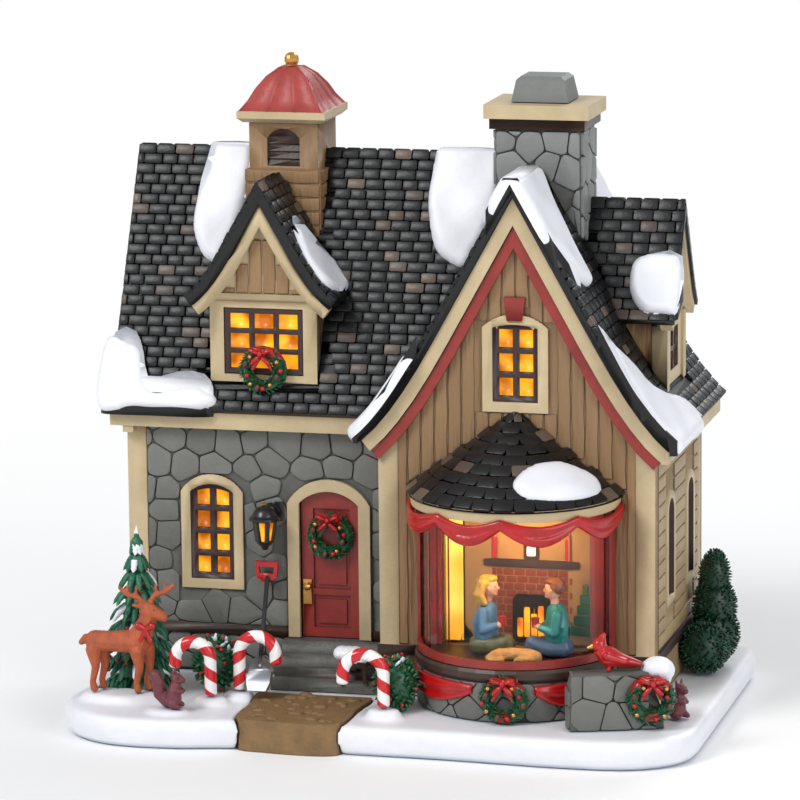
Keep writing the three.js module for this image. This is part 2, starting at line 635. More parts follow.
function doorLeaf() {
  const { x, half, shoulder, rise, border, leaf } = DOOR;
  const inner = half - border - SEAT;
  const face = WING_FRONT + 0.6;
  const slab = prism('y', arch(x, inner, FLOOR + SEAT, shoulder, rise - border - SEAT), face, face + leaf);
  const panel = (z0, z1) => {
    const well = block(x - 5.6, x + 6.4, face - 1, face + 0.8, z0, z1);
    const field = block(x - 4.2, x + 5, face + 0.2, face + 1, z0 + 1.4, z1 - 1.4);
    return { well, field };
  };
  const panels = [panel(FLOOR + 3.4, FLOOR + 14), panel(FLOOR + 16, FLOOR + 42)];
  const carved = join(cut(slab, panels.map((p) => p.well)), panels.map((p) => p.field));
  const plate = block(x - inner + 0.5, x - inner + 3.3, face - 0.7, face + 0.5, FLOOR + 11, FLOOR + 19);
  const knob = ball(1.4, [x - inner + 1.9, face - 1.2, FLOOR + 16.8]);
  const ring = moved(wreath(WREATH.radius, WREATH.tube), x + 0.4, face - wreathBack, 55.6);
  return join(carved, plate, knob, ring.subtract(block(-FAR, FAR, face + leaf - 0.4, FAR, 0, FAR)));
}

add('door_frame', doorFrame(), BEIGE, 0.55);
add('door_leaf', doorLeaf(), BARN_RED, 0.5);

// Roofs with their snow

const cupolaRoom = block(CUPOLA.x - CUPOLA.skirtHalf - SEAT, CUPOLA.x + CUPOLA.skirtHalf + SEAT,
  MAIN_RIDGE_Y - CUPOLA.skirtHalf - SEAT, MAIN_RIDGE_Y + CUPOLA.skirtHalf + SEAT, 0, FAR);
const chimneyHole = block(-STACK.half - SEAT, STACK.half + SEAT,
  STACK.front - SEAT, STACK.back + SEAT, 100, FAR);
const cavityEave = eaveOf(FRONT_DORMER_ROOF) - 3.7;
const cavityRidge = FRONT_DORMER_ROOF.ridge - 16.7;
const dormerCavity = prism('y', polygon([
  [DORMER.x - DORMER.half + DORMER.wall, DORMER.bottom + DORMER.wall],
  [DORMER.x + DORMER.half - DORMER.wall, DORMER.bottom + DORMER.wall],
  [DORMER.x + DORMER.half - DORMER.wall, cavityEave], [DORMER.x, cavityRidge],
  [DORMER.x - DORMER.half + DORMER.wall, cavityEave],
]), DORMER.face + DORMER.wall, MAIN_RIDGE_Y - CUPOLA.skirtHalf - 1.5);
const sideDormerCavity = prism('x', polygon([
  [MAIN_RIDGE_Y - SIDE_DORMER.half + SIDE_DORMER.wall, SIDE_DORMER.bottom + SIDE_DORMER.wall],
  [MAIN_RIDGE_Y + SIDE_DORMER.half - SIDE_DORMER.wall, SIDE_DORMER.bottom + SIDE_DORMER.wall],
  [MAIN_RIDGE_Y + SIDE_DORMER.half - SIDE_DORMER.wall, eaveOf(SIDE_DORMER_ROOF) - 3.8],
  [MAIN_RIDGE_Y, SIDE_DORMER_ROOF.ridge - 14],
  [MAIN_RIDGE_Y - SIDE_DORMER.half + SIDE_DORMER.wall, eaveOf(SIDE_DORMER_ROOF) - 3.8],
]), 16, SIDE_DORMER.face - SIDE_DORMER.wall);

function mainRoof() {
  const shell = roofShell(MAIN_ROOF, 'x', MAIN_RIDGE_Y, MAIN_ROOF_LEFT, 0);
  const bare = cut(shell, underGable, chimneyHole, dormerCavity);
  const edge = CUPOLA.x - CUPOLA.skirtHalf - SEAT;
  const patches = [
    [[-107, 47], [edge, 47], [edge, 36], [-100, 31.6],
      [-104.5, 29.2], [-109.5, 32], [-111.8, 36], [-110, 42]],
    [[-33.3, 46], [-24, 47], [-16, 45.6], [-15.6, 39],
      [-19.5, 32.6], [-24, 30.2], [-30, 31.4], [-35.2, 38.2]],
    [[-133.8, 16.4], [-127, 16.6], [-123.8, 13.6], [-121.5, 10.2], [-112, 11], [-103, 10.8], [-99.6, 8.8],
      [-106, 6.6], [-120, 6.8], [-134, 6.4], [-136.6, 8]],
  ];
  const laid = patches.map((outline) => snow(MAIN_ROOF, 'x', MAIN_RIDGE_Y, outline, 2.4))
    .map((patch) => cut(patch, underGable, cupolaRoom));
  return join(bare, laid);
}

function gableRoof() {
  const shell = roofShell(GABLE_ROOF, 'y', 0, RAKE_FRONT, RAKE_BACK);
  const wing = underMainSoffit.intersect(block(-FAR, 0, -FAR, FAR, 0, FAR));
  const bare = cut(shell, wing, sideDormerCavity);
  const patches = [
    [[-8, -5.4], [6, -5.4], [13, -5.2], [19.6, 4], [16, 12.6], [10, 17.4], [4, 23], [-2, 20], [-7, 8]],
    [[27, -6], [52, -6], [52.4, 20], [52, 36], [46.4, 35], [43, 22], [38, 9], [31, 0]],
    [[-50.6, -5.4], [-30, -5.6], [-33, 1], [-41, 5], [-50.6, 6]],
    [[4, 60], [12, 62], [17, 72], [16, 84], [3, 86.5], [-2, 76], [-1, 64]],
  ];
  const laid = patches.map((outline) => snow(GABLE_ROOF, 'y', 0, outline, 2.6));
  return cut(join(bare, laid), wing);
}

add('main_roof', mainRoof(), SHINGLE, 0.5);
add('gable_roof', gableRoof(), SHINGLE, 0.5);

// Boards under the roof edges
const boardBack = -RELIEF - SEAT;
const boardTop = GABLE_ROOF.thick + SEAT;
const trimTop = boardTop + BOARD_WIDTH + SEAT;
// The beige board turns the corner at the eave and runs on to the back of the roof.
function bargeboard() {
  const rake = rakeBoard(GABLE_ROOF, 'y', 0, boardTop, boardTop + BOARD_WIDTH, BOARD_FRONT, boardBack);
  const underSoffit = prism('y', underLine(GABLE_ROOF, boardTop, 0), -FAR, FAR);
  const { half, thick } = GABLE_ROOF;
  const eave = eaveOf(GABLE_ROOF);
  const fascia = block(half - 4, half - 0.6, BOARD_FRONT, RAKE_BACK - 0.8, eave - thick - 3.6, eave);
  return join(rake, fascia.intersect(underSoffit));
}
add('gable_bargeboard', bargeboard(), BEIGE, 0.55);
const gableTrim = rakeBoard(GABLE_ROOF, 'y', 0, trimTop, trimTop + TRIM_WIDTH, TRIM_FRONT - 0.4, boardBack);
add('gable_trim', gableTrim, BARN_RED, 0.55);

function eaveBoard() {
  const front = MAIN_RIDGE_Y - MAIN_ROOF.half + 1.6;
  const back = WING_FRONT - RELIEF - SEAT;
  const left = MAIN_ROOF_LEFT - 0.4;
  const board = block(left, -GABLE_ROOF.half - 1, front, back, 89.4, 95).intersect(underMainSoffit);
  const bracket = block(WING_LEFT - RELIEF, WING_LEFT + 2.6, front + 1.2, back, 87.2, 89.6);
  return join(board, bracket);
}
add('eave_board', eaveBoard(), BEIGE, 0.55);

// Chimney

function chimneyStack() {
  return cut(block(-STACK.half, STACK.half, STACK.front, STACK.back, 120, STACK.top), underGable);
}

function steppedBlock(grow, z0, z1) {
  return block(-STACK.half - grow, STACK.half + grow, STACK.front - grow, STACK.back + grow, z0, z1);
}

const capBase = STACK.top + SEAT;
const slabBase = capBase + CHIMNEY_BAND.height;
const potBase = slabBase + CHIMNEY_SLAB.height + SEAT;
const stackY = (STACK.front + STACK.back) / 2;

function chimneyPot() {
  const ring = (half, depth, z) => [
    [-half, stackY - depth, z], [half, stackY - depth, z],
    [half, stackY + depth, z], [-half, stackY + depth, z],
  ];
  const shoulder = potBase + POT.height * 0.86;
  return loft([
    ring(POT.half, POT.depthHalf, potBase),
    ring(POT.topHalf + 1.1, POT.topDepthHalf + 0.6, shoulder),
    ring(POT.topHalf - 0.2, POT.topDepthHalf - 0.6, potBase + POT.height),
  ]);
}

add('chimney_stack', chimneyStack(), 0x7c7d7a, 0.65);
add('chimney_cap', join(steppedBlock(CHIMNEY_BAND.grow, capBase, slabBase),
  steppedBlock(CHIMNEY_SLAB.grow, slabBase, slabBase + CHIMNEY_SLAB.height)), BEIGE, 0.55);
add('chimney_pot', chimneyPot(), 0x7d7f80, 0.6);

// Cupola

function squareRing(x, y, half, z) {
  return [[x - half, y - half, z], [x + half, y - half, z], [x + half, y + half, z], [x - half, y + half, z]];
}

function cupolaBody() {
  const { x, half, skirtHalf, skirtTop, top } = CUPOLA;
  const y = MAIN_RIDGE_Y;
  const under = skirtTop - 38; // below the roof's surface, where the roof cuts it off
  const shaft = block(x - half, x + half, y - half, y + half, under, top);
  const skirt = block(x - skirtHalf, x + skirtHalf, y - skirtHalf, y + skirtHalf, under, skirtTop);
  const louvre = arch(x, LOUVRE.half, LOUVRE.bottom, LOUVRE.shoulder, LOUVRE.rise);
  const louvreTop = LOUVRE.shoulder + LOUVRE.rise;
  const well = prism('y', louvre, y - half - 1, y - half + 1.6);
  const pitch = (louvreTop - LOUVRE.bottom) / LOUVRE.slats;
  const teeth = [];
  for (let i = 0; i < LOUVRE.slats; i += 1) {
    const z = LOUVRE.bottom + i * pitch;
    teeth.push([y - half + 0.4, z], [y - half + 1.3, z + pitch]);
  }
  const slats = polygon([[y, LOUVRE.bottom], ...teeth, [y, louvreTop]].reverse());
  const grille = prism('x', slats, x - LOUVRE.half - 1, x + LOUVRE.half + 1)
    .intersect(prism('y', louvre, 0, y));
  return cut(join(cut(join(shaft, skirt), well), grille), underMain);
}

const corniceBase = CUPOLA.top + SEAT;
const corniceTop = corniceBase + CORNICE.height;

function cupolaRoof() {
  const { x } = CUPOLA;
  const y = MAIN_RIDGE_Y;
  const cornice = loft([
    squareRing(x, y, CORNICE.half - 1.6, corniceBase),
    squareRing(x, y, CORNICE.half, corniceBase + 1.4),
    squareRing(x, y, CORNICE.half, corniceTop),
  ]);
  const skin = loft(CUPOLA_ROOF_LINE.map(([half, z]) => squareRing(x, y, half, corniceTop - 0.2 + z)));
  const corners = [[-1, -1], [1, -1], [1, 1], [-1, 1]];
  const between = [-0.34, 0.34].flatMap((v) => [[v, -1], [v, 1], [1, v], [-1, v]]);
  const seams = [...corners, ...between]
    .map(([u, v]) => loft(CUPOLA_ROOF_LINE.map(([half, z]) => {
      const at = [x + u * half, y + v * half, corniceTop - 0.2 + z];
      return [[-1, 0], [0, -1], [1, 0], [0, 1]].map(([a, b]) => [at[0] + a * SEAM, at[1] + b * SEAM, at[2]]);
    })));
  return join(cornice, skin, ...seams);
}

const roofTop = corniceTop - 0.2 + CUPOLA_ROOF_LINE.at(-1)[1];
const finialZ = roofTop + FINIAL.neck;
const finialRoom = block(-9, 9, -9, 9, roofTop + SEAT, FAR);
const finial = join(lathe([[0, roofTop + SEAT], [1.9, roofTop + SEAT], [1.2, finialZ], [0, finialZ]], 10),
  ball(FINIAL.radius, [0, 0, finialZ], [1, 1, 1], 12)).intersect(finialRoom);
add('cupola_body', cupolaBody(), PLANK, 0.6);
add('cupola_roof', cupolaRoof(), 0x9c3f3a, 0.5);
add('finial', moved(finial, CUPOLA.x, MAIN_RIDGE_Y, 0), 0xd8a65a, 0.3, 0.9);

// Dormers: body, window and roof

const underFrontDormer = (inset) => prism('y', underLine(FRONT_DORMER_ROOF, inset, DORMER.x), -FAR, FAR);
const underSideDormer = (inset) => prism('x', underLine(SIDE_DORMER_ROOF, inset, MAIN_RIDGE_Y), -FAR, FAR);

function frontDormerBody() {
  const { x, half, face, bottom } = DORMER;
  const roofGap = FRONT_DORMER_ROOF.thick + SEAT;
  const whole = block(x - half, x + half, face, MAIN_RIDGE_Y, bottom, FRONT_DORMER_ROOF.ridge);
  const board = rakeBoard(FRONT_DORMER_ROOF, 'y', x, roofGap, roofGap + 3.4, DORMER.front + 0.9, face + 1);
  const { half: open, bottom: low, top } = DORMER_WINDOW;
  const beam = block(x - half, x + half, face - RELIEF, face + 1, top + 2.2, top + 4.6);
  const light = block(x - open, x + open, face - 5, face + DORMER.wall + 1, low, top);
  const walls = cut(join(whole, beam).intersect(underFrontDormer(roofGap)), dormerCavity, light);
  const lightRoom = block(x - open, x + open, face, FAR, low - SEAT, top);
  const ring = moved(wreath(WREATH.radius, WREATH.tube), x + 0.4, face - wreathBack, low + 2);
  return cut(join(walls, board, cut(ring, lightRoom)), underMain, cupolaRoom);
}

function gridWindow() {
  const { half, bottom, top } = DORMER_WINDOW;
  const opening = {
    x: DORMER.x, half: half - SEAT, bottom: bottom + SEAT, shoulder: top - SEAT, rise: 0, border: 0,
  };
  const plug = block(DORMER.x - half + SEAT, DORMER.x + half - SEAT, DORMER.face + 0.3,
    DORMER.face + DORMER.wall, bottom + SEAT, top - SEAT);
  return cut(plug, panePockets(opening, 3, 3, DORMER.face + DORMER.wall - FILM - PANE_DEPTH), underMain);
}

function dormerRoof() {
  const shell = roofShell(FRONT_DORMER_ROOF, 'y', DORMER.x, DORMER.front, MAIN_RIDGE_Y);
  const patch = [[-74, 14], [-75, 20], [-70, 27], [-62.6, 33], [-60.2, 27], [-60.4, 18], [-65, 13.6]];
  const laid = snow(FRONT_DORMER_ROOF, 'y', DORMER.x, patch, 1.8);
  return cut(join(shell, laid), underMain, cupolaRoom);
}

function sideDormer() {
  const { half, face, bottom } = SIDE_DORMER;
  const y = MAIN_RIDGE_Y;
  const roofGap = SIDE_DORMER_ROOF.thick + SEAT;
  const whole = block(4, face, y - half, y + half, bottom, SIDE_DORMER_ROOF.ridge)
    .intersect(underSideDormer(roofGap));
  const board = rakeBoard(SIDE_DORMER_ROOF, 'x', y, roofGap, roofGap + 3, face - 1, SIDE_DORMER.front - 0.8);
  const posts = [-1, 1].map((side) => {
    const middle = y + side * (half - 1.6);
    const top = eaveOf(SIDE_DORMER_ROOF) - 1.8;
    return block(face - 4, face + RELIEF, middle - 2, middle + 2, bottom - 1.6, top);
  });
  const { half: open, bottom: low, top } = SIDE_DORMER_WINDOW;
  const well = block(face - 1.4, face + 2, y - open, y + open, low, top);
  const bars = [block(face - 2, face - 0.3, y - MUNTIN / 2, y + MUNTIN / 2, low, top),
    block(face - 2, face - 0.3, y - open, y + open, (low + top - MUNTIN) / 2, (low + top + MUNTIN) / 2)];
  const walls = cut(join(whole, posts), sideDormerCavity);
  return cut(join(cut(walls, well), bars, board), underGable, chimneyHole);
}

function sideDormerRoof() {
  const shell = roofShell(SIDE_DORMER_ROOF, 'x', MAIN_RIDGE_Y, 2, SIDE_DORMER.front);
  const patch = [[31.4, 31.4], [33, 34.6], [36.6, 36], [45.4, 35.6], [45.4, 27.6], [41.4, 26.8], [34.6, 27]];
  const laid = snow(SIDE_DORMER_ROOF, 'x', MAIN_RIDGE_Y, patch, 1.8);
  return cut(join(shell, laid), underGable, chimneyHole);
}

add('front_dormer', frontDormerBody(), BEIGE, 0.55);
add('front_dormer_window', gridWindow(), 0xc9a05a, 0.45);
add('front_dormer_roof', dormerRoof(), SHINGLE, 0.5);
add('side_dormer', sideDormer(), BEIGE, 0.55);
add('side_dormer_roof', sideDormerRoof(), SHINGLE, 0.5);

// Bow window

const frontHalf = block(-FAR, FAR, -FAR, -SEAT, -FAR, FAR);

// A turned form about the bow's own axis.
function turned(profile) {
  return moved(lathe(profile, 32), 0, BAY_Y, 0);
}

function halfDisc(radius, z0, z1) {
  return turned([[0, z0], [radius, z0], [radius, z1], [0, z1]]).intersect(frontHalf);
}

function halfRing(outer, inner, z0, z1) {
  return turned([[inner, z0], [outer, z0], [outer, z1], [inner, z1], [inner, z0]]).intersect(frontHalf);
}

function onBay(angle, radius, z) {
  const turn = THREE.MathUtils.degToRad(angle);
  return [radius * Math.sin(turn), BAY_Y - radius * Math.cos(turn), z];
}

// One length of draped cloth between two ties: high at its ends, low and full in the middle.
function swag(from, to, radius, { thick, tieTop, tieLow, sagTop, sagLow }, stations = 9) {
  const rings = [];
  for (let i = 0; i <= stations; i += 1) {
    const t = i / stations;
    const angle = from + (to - from) * t;
    const sag = 1 - (2 * t - 1) ** 2;
    const top = tieTop + (sagTop - tieTop) * sag;
    const low = tieLow + (sagLow - tieLow) * Math.sqrt(sag);
    const full = thick * (0.55 + 0.9 * Math.sqrt(sag));
    rings.push([onBay(angle, radius, low + 0.4), onBay(angle, radius + full * 0.7, low),
      onBay(angle, radius + full, (low * 2 + top) / 3), onBay(angle, radius + full * 0.5, top),
      onBay(angle, radius, top)]);
  }
  return loft(rings);
}

function bayBase() {
  const drum = halfDisc(BAY_RADIUS, FOOT, FLOOR);
  const drape = { thick: 1.1, tieTop: 21.4, tieLow: 19.4, sagTop: 19.4, sagLow: 14.4 };
  const drapes = [[-74, -14], [20, 62]].map(([from, to]) => swag(from, to, BAY_RADIUS - 0.6, drape));
  const ring = moved(wreath(WREATH.radius, WREATH.tube), 2.8, BAY_Y - BAY_RADIUS - wreathBack, 17);
  const room = turned([[0, FLOOR], [SILL_RADIUS + SEAT, FLOOR], [SILL_RADIUS + SEAT, FAR], [0, FAR]]);
  return cut(join(drum, drapes, ring), room).intersect(block(-FAR, FAR, -FAR, FAR, FOOT, FAR));
}

function baySill() {
  const profile = [[0, FLOOR + SEAT], [SILL_RADIUS - 0.6, FLOOR + SEAT], [SILL_RADIUS, FLOOR + 1.2],
    [SILL_RADIUS, SILL_TOP - 1], [SILL_RADIUS - 0.6, SILL_TOP], [0, SILL_TOP]];
  return moved(lathe(profile, 32), 0, BAY_Y, 0).intersect(frontHalf);
}

function bayFrame() {
  const { outer, inner, rail } = BAY_FRAME;
  const foot = SILL_TOP + SEAT;
  const lowRail = halfRing(outer, inner, foot, foot + rail);
  const jambs = [-1, 1].map((side) => {
    const span = (from, front) => {
      const [left, right] = [side * from, side * outer].sort((a, b) => a - b);
      return block(left, right, front, -SEAT, foot, BAY_HEAD);
    };
    return join(span(BAY_OPENING_HALF + 0.6, -1.5), span(inner, -4));
  });
  const round = turned([[0, 0], [outer, 0], [outer, FAR], [0, FAR]]);
  return join(lowRail, jambs).intersect(round);
}

function bayPane() {
  const foot = SILL_TOP + SEAT;
  const shell = halfRing(PANE.outer, PANE.outer - PANE.thick, foot, BAY_HEAD);
  return shell.intersect(block(-FAR, FAR, -FAR, -1.5 - SEAT, 0, FAR));
}

function bayRoof() {
  const head = BAY_HEAD + SEAT;
  const { radius, apex, courses, butt } = BAY_ROOF;
  const profile = [[0, head], [LINTEL.radius - 1.6, head], [LINTEL.radius, head + 0.6],
    [LINTEL.radius, LINTEL.top - 1.2], [radius, LINTEL.top - 1.4]];
  const run = radius / courses;
  const rise = (apex - LINTEL.top) / courses;
  for (let i = 0; i < courses; i += 1) {
    const lower = radius - i * run;
    const z = LINTEL.top + i * rise;
    profile.push([lower, z - 0.2]);
    profile.push([lower - 0.25, z + butt]);
    if (i < courses - 1) profile.push([lower - run, z + rise - 0.25]);
  }
  profile.push([0, apex]);
  const cone = turned(profile).intersect(frontHalf);
  const rim = [[12, 22], [30, 15], [56, 17], [72, 26], [66, 31.6], [46, 31.4], [26, 29]];
  const patch = rounded(rim.map(([angle, reach]) => onBay(angle, reach, 0).slice(0, 2)), 24);
  const coat = turned([[0, 80], [radius - 1, LINTEL.top], [radius + 0.6, LINTEL.top + 1.6],
    [radius - 3, LINTEL.top + 5], [0, apex + 2.4]]);
  return join(cone, prism('z', patch, 0, FAR).intersect(coat).intersect(frontHalf));
}

function bayValance() {
  const swags = SWAG_TIES.slice(1)
    .map((to, i) => swag(SWAG_TIES[i] - 0.5, to + 0.5, VALANCE.radius, VALANCE));
  const tail = { thick: 1.4, tieTop: 73, tieLow: 69, sagTop: 72.4, sagLow: 65.4 };
  const tails = [SWAG_TIES[0] + 5, SWAG_TIES.at(-1) - 5]
    .map((angle) => swag(angle - 4, angle + 4, VALANCE.radius, tail, 4));
  return join(...swags, tails).intersect(frontHalf);
}

add('bay_base', bayBase(), STONE, 0.6);
add('bay_sill', baySill(), BROWN, 0.5);
add('bay_frame', bayFrame(), 0x6d2420, 0.45);
add('bay_pane', bayPane(), 0xf2f4f5, 0.08);
add('bay_roof', bayRoof(), SHINGLE, 0.5);
add('bay_valance', bayValance(), BRIGHT_RED, 0.4);

// Inside the bow window
const CARD = { left: -17.4, right: 26, thick: 0.6, top: 76 };
const cardY = WALL + SEAT;
const card = block(CARD.left, CARD.right, cardY, cardY + CARD.thick, SILL_TOP - 4, CARD.top);
add('backdrop_card', card, 0xa8642f, 0.6);

// A seated half figure holding a mug, facing +X when side is 1 and -X when it is -1.
function sitter(side) {
  const s = side;
  const hips = ball(5.4, [0, 0, 2.6], [1.15, 0.85, 0.62], 10);
  const torso = limb([[-0.6 * s, 0, 3.6, 4.1], [-0.8 * s, 0, 9.6, 4.3], [-0.4 * s, 0, 14.4, 2.9]], 10);
  const neck = limb([[-0.2 * s, 0, 15.6, 1.5], [0.2 * s, 0, 18, 1.5]], 6);
  const head = ball(3.1, [0.6 * s, 0, 20.6], [0.95, 0.85, 1.12], 10);
  const hair = ball(3.3, [-0.2 * s, 0.2, 21.3], [1, 0.95, 1], 10);
  const nearArm = limb([[-1 * s, -3.4, 13.4, 1.7], [-0.4 * s, -4.8, 7.8, 1.5], [4.4 * s, -4.2, 9.6, 1.2]], 7);
  const farArm = limb([[-1 * s, 3, 13.4, 1.6], [0.6 * s, 3.4, 8, 1.4], [4.4 * s, 0, 9.2, 1.1]], 7);
  const mug = moved(lathe([[0, 0], [1.1, 0], [1.25, 2.8], [0, 2.8]], 8), 5 * s, -3.8, 9.4);
  const thigh = limb([[1.5 * s, -2, 2.4, 2.7], [6.4 * s, -2.6, 3.6, 2.2]], 8);
  const above = block(-FAR, FAR, -FAR, FAR, 0, FAR);
  return join(hips, torso, neck, head, hair, nearArm, farArm, mug, thigh).intersect(above);
}

const floorZ = SILL_TOP + SEAT;
const longHair = ball(3, [-7.9, -7.5, floorZ + 18.2], [0.8, 0.8, 1.2], 8);
add('seated_woman', join(moved(sitter(1), -7.4, -8, floorZ), longHair), 0x5b7a92, 0.5);
add('seated_man', moved(sitter(-1), 12.8, -8, floorZ), 0x1f6a68, 0.5);

function dog() {
  const body = limb([[-6, 0, 1.9, 1.9], [-2, 0.6, 2.1, 2.1], [3.6, 0.4, 2.1, 2.1], [5.6, -0.4, 1.9, 1.9]], 8);
  const head = limb([[-6, -0.6, 1.8, 1.9], [-8.4, -1.4, 1.2, 1]], 7);
  const foreleg = limb([[-4, -1.6, 0.9, 0.9], [-7.4, -3, 0.8, 0.8]], 6);
  const hindleg = limb([[5, -1.4, 1.1, 1.2], [1.8, -2.6, 0.8, 0.8]], 6);
  const above = block(-FAR, FAR, -FAR, FAR, 0, FAR);
  return join(body, head, foreleg, hindleg).intersect(above);
}
add('sleeping_dog', moved(dog(), 4.2, -19.6, floorZ), 0xb98342, 0.55);

// Lamp in the gable wing
const LAMP = { x: -8, y: 44, holderTop: 52, bulbTop: 66 };
const lampAt = (piece) => moved(piece, LAMP.x, LAMP.y, 0);
const holderLine = [[0, FOOT], [9, FOOT], [9, FOOT + 2], [4, FOOT + 3], [4, LAMP.holderTop - 8],
  [5.2, LAMP.holderTop - 8], [5.2, LAMP.holderTop], [0, LAMP.holderTop]];
const bulbLine = [[0, LAMP.holderTop + SEAT], [3, LAMP.holderTop + SEAT], [3.4, LAMP.holderTop + 3],
  [4.4, LAMP.holderTop + 6], [4.4, LAMP.bulbTop - 4], [2.6, LAMP.bulbTop - 1], [0, LAMP.bulbTop]];
add('lamp_holder', lampAt(lathe(holderLine, 16)), 0xe6e2d8, 0.4);
add('lamp_bulb', lampAt(lathe(bulbLine, 16)), 0xffe2a0, 0.1);

// Wall lantern and snow shovel

function lantern() {
  const cage = lathe([[0, 0], [1.2, 0.4], [2.6, 2.6], [3.2, 8.6], [4.1, 9.6], [4.5, 10.6],
    [2.6, 12.4], [1.5, 13.8], [1.1, 14.6], [0, 15.2]], 6);
  const arm = limb([[0, 0, 13.4, 0.9], [2.4, 3, 14, 0.8], [3.4, 5.6, 12.6, 0.8]], 6);
  const plate = block(1.4, 5, 5.2, 6, 8, 14.6);
  return join(cage, arm, plate);
}
add('wall_lantern', moved(lantern(), -83.4, WING_FRONT - 6 - 2 * SEAT, 51.6), 0x1b1b1d, 0.4);

function shovel() {
  const shaft = limb([[-78.5, -16.6, 20.2, 0.8], [-83.4, 10.6, 42.4, 0.75]], 6);
  const grip = new THREE.Shape();
  grip.moveTo(-3.8, 0).lineTo(-3.3, -5).lineTo(-1, -6.6).lineTo(1, -6.6).lineTo(3.3, -5).lineTo(3.8, 0);
  const hole = new THREE.Path();
  hole.moveTo(-2.5, -1.6).lineTo(-2.2, -4).lineTo(2.2, -4).lineTo(2.5, -1.6);
  grip.holes.push(hole);
  const handle = moved(prism('y', grip, -0.8, 0.8), -83.6, 11, 47.2);
  const pan = [[3.2, 0.4, 0], [4.2, 0.7, 3], [4.2, 0.7, 7], [3.6, 0.8, 10.4], [1, 1, 12.2]];
  const blade = loft(pan.map(([half, back, z]) => [
    [-half, back, z], [half, back, z], [half * 0.9, -0.5, z], [-half * 0.9, -0.5, z],
  ]));
  return join(shaft, handle, moved(blade.rotate([-38, 0, 0]), -78.5, -21, FOOT + 3.2));
}
add('snow_shovel', shovel(), 0x9a9ca0, 0.3, 0.7);

// Garden figures

function candyCane(height, hook, side) {
  const path = new THREE.CurvePath();
  path.add(new THREE.LineCurve3(new THREE.Vector3(0, 0, 0), new THREE.Vector3(0, 0, height - hook)));
  const bend = [0, 1, 2, 3, 4].map((i) => {
    const turn = (i / 4) * Math.PI;
    return new THREE.Vector3(side * hook * (1 - Math.cos(turn)), 0, height - hook + hook * Math.sin(turn));
  });
  path.add(new THREE.CatmullRomCurve3(bend));
  const end = bend.at(-1);
  path.add(new THREE.LineCurve3(end, new THREE.Vector3(end.x, 0, end.z - hook * 0.55)));
  const points = [0, 0.3, 0.5, 0.56, 0.62, 0.68, 0.74, 0.8, 0.86, 0.93, 1].map((t) => path.getPointAt(t));
  const spine = new THREE.CatmullRomCurve3(points, false, 'centripetal');
  const section = new THREE.Shape();
  section.absarc(0, 0, 1.9, 0, Math.PI * 2, false);
  const settings = { steps: 15, extrudePath: spine, curveSegments: 4, bevelEnabled: false };
  return new THREE.ExtrudeGeometry(section, settings);
}

function placed(name, piece, { x, y, turn = 0, height = 0 }, color, roughness) {
  const mesh = add(name, piece, color, roughness);
  mesh.position.set(x, y, FOOT + height);
  mesh.rotation.z = THREE.MathUtils.degToRad(turn);
  return mesh;
}

placed('candy_cane_1', solid(candyCane(17.2, 5.5, -1)), { ...DRIFTS.left_cane, turn: 8 }, BRIGHT_RED, 0.35);
placed('candy_cane_2', solid(candyCane(17.6, 5.9, 1)), DRIFTS.middle_cane, BRIGHT_RED, 0.35);
placed('candy_cane_3', solid(candyCane(16.9, 6.3, -1)), { ...DRIFTS.right_cane, turn: 8 }, BRIGHT_RED, 0.35);

function tree() {
  const tiers = [[10.6, 3, 15], [10.2, 10, 22], [9, 18, 30], [7.6, 26.5, 38], [5.8, 35, 52.4]];
  const cones = tiers.map(([radius, low, high], i) => {
    const rings = [];
    const sides = 14;
    for (const [share, z] of [[1, low], [0.62, low + (high - low) * 0.42], [0.12, high]]) {
      rings.push(Array.from({ length: sides }, (unused, k) => {
        const turn = ((k + i * 0.5) / sides) * Math.PI * 2;
        const reach = radius * share * (k % 2 ? 0.82 : 1);
        return [reach * Math.cos(turn), reach * Math.sin(turn), z + (k % 2 ? 1.2 : 0) * share];
      }));
    }
    return loft(rings);
  });
  return join(lathe([[0, 0], [3, 0], [2.4, 8], [0, 8]], 10), cones);
}
placed('christmas_tree', tree(), { x: -119.4, y: -12 }, GREEN, 0.6);

function reindeer() {
  const trunk = limb([[-8.6, 0, 14.4, 3.8], [-2, 0, 13.9, 4.1], [4.6, 0, 14.7, 4.2]], 9);
  const neck = limb([[4.8, 0, 16, 3.5], [7.4, 0, 21.6, 2.5], [8, 0, 24.4, 2.2]], 8);
  const head = limb([[7.6, 0, 25.8, 2.5], [10, 0, 25.2, 2.2], [12.6, 0, 23.9, 1.4]], 8);
  const ears = [-1, 1].map((side) => limb([[7, side * 1.4, 27, 0.9], [3.6, side * 2.4, 27.8, 0.5]], 5));
  const legs = [[-9.2, -2], [-7.2, 2], [4.4, -2], [7, 2]]
    .map(([x, y]) => limb([[x, y, 12.6, 2.5], [x + 0.4, y, 7, 1.5], [x, y, 0.6, 1.4]], 6));
  const antlers = [-1, 1].map((side) => join(
    limb([[7.6 + side * 0.8, side * 0.5, 27.4, 0.9], [7.4 + side * 2.4, side * 1.6, 31, 0.85],
      [7.6 + side * 7.6, side * 3, 33.2, 0.6]], 5),
    limb([[7.4 + side * 3.4, side * 1.8, 31.6, 0.7], [7.4 + side * 5.2, side * 1.8, 29.6, 0.5]], 5),
  ));
  const tail = limb([[-11.6, 0, 16, 1.3], [-13.4, 0, 15, 0.7]], 5);
  const above = block(-FAR, FAR, -FAR, FAR, 0, FAR);
  return join(trunk, neck, head, ears, legs, antlers, tail).intersect(above);
}
placed('reindeer', reindeer(), { ...DRIFTS.reindeer, x: DRIFTS.reindeer.x + 1.1, turn: 4 }, 0xa9512f, 0.55);

